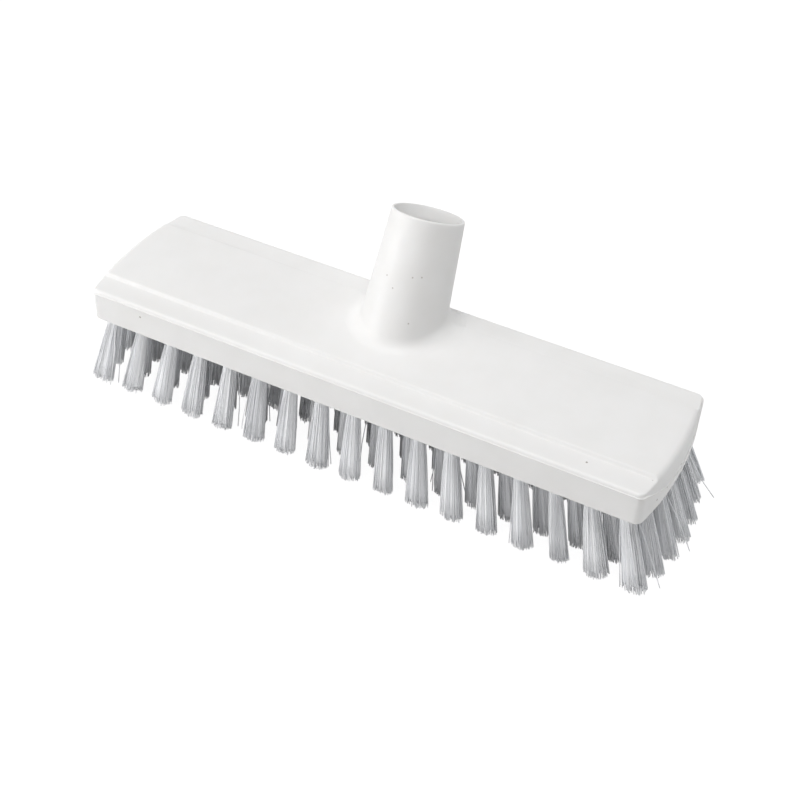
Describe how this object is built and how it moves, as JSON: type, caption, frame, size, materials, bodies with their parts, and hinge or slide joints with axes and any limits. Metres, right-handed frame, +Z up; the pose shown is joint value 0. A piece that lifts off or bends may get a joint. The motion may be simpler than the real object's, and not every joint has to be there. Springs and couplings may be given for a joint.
{
  "type": "scrub brush",
  "caption": "Deck scrub brush head: a long moulded block with a raised centre panel and bowed ends, an angled round handle socket, and rows of stiff flared bristle tufts",
  "frame": {"origin": "on the floor under the bristle tips, at the middle of the whole brush's outline seen from above", "axes": "+X along the block, +Y towards the side that the handle socket leans to, +Z up from the bristle tips to the socket's mouth"},
  "size_m": [0.3238, 0.1004, 0.1213],
  "materials": {
    "block_plastic": "satin moulded white plastic",
    "bristles": "translucent white filament with a soft sheen",
    "anchor_wire": "drawn stainless flat wire"
  },
  "bodies": {
    "root": {"block": "block_plastic", "handle_socket": "block_plastic", "row_1_left_tufts": "bristles", "row_1_middle_tufts": "bristles", "row_1_right_tufts": "bristles", "row_2_left_tufts": "bristles", "row_2_middle_tufts": "bristles", "row_2_right_tufts": "bristles", "row_3_left_tufts": "bristles", "row_3_middle_tufts": "bristles", "row_3_right_tufts": "bristles", "row_4_left_tufts": "bristles", "row_4_middle_tufts": "bristles", "row_4_right_tufts": "bristles", "row_5_left_tufts": "bristles", "row_5_middle_tufts": "bristles", "row_5_right_tufts": "bristles", "row_6_left_tufts": "bristles", "row_6_middle_tufts": "bristles", "row_6_right_tufts": "bristles", "row_7_left_tufts": "bristles", "row_7_middle_tufts": "bristles", "row_7_right_tufts": "bristles", "row_1_anchors": "anchor_wire", "row_2_anchors": "anchor_wire", "row_3_anchors": "anchor_wire", "row_4_anchors": "anchor_wire", "row_5_anchors": "anchor_wire", "row_6_anchors": "anchor_wire", "row_7_anchors": "anchor_wire"}
  },
  "joints": []
}
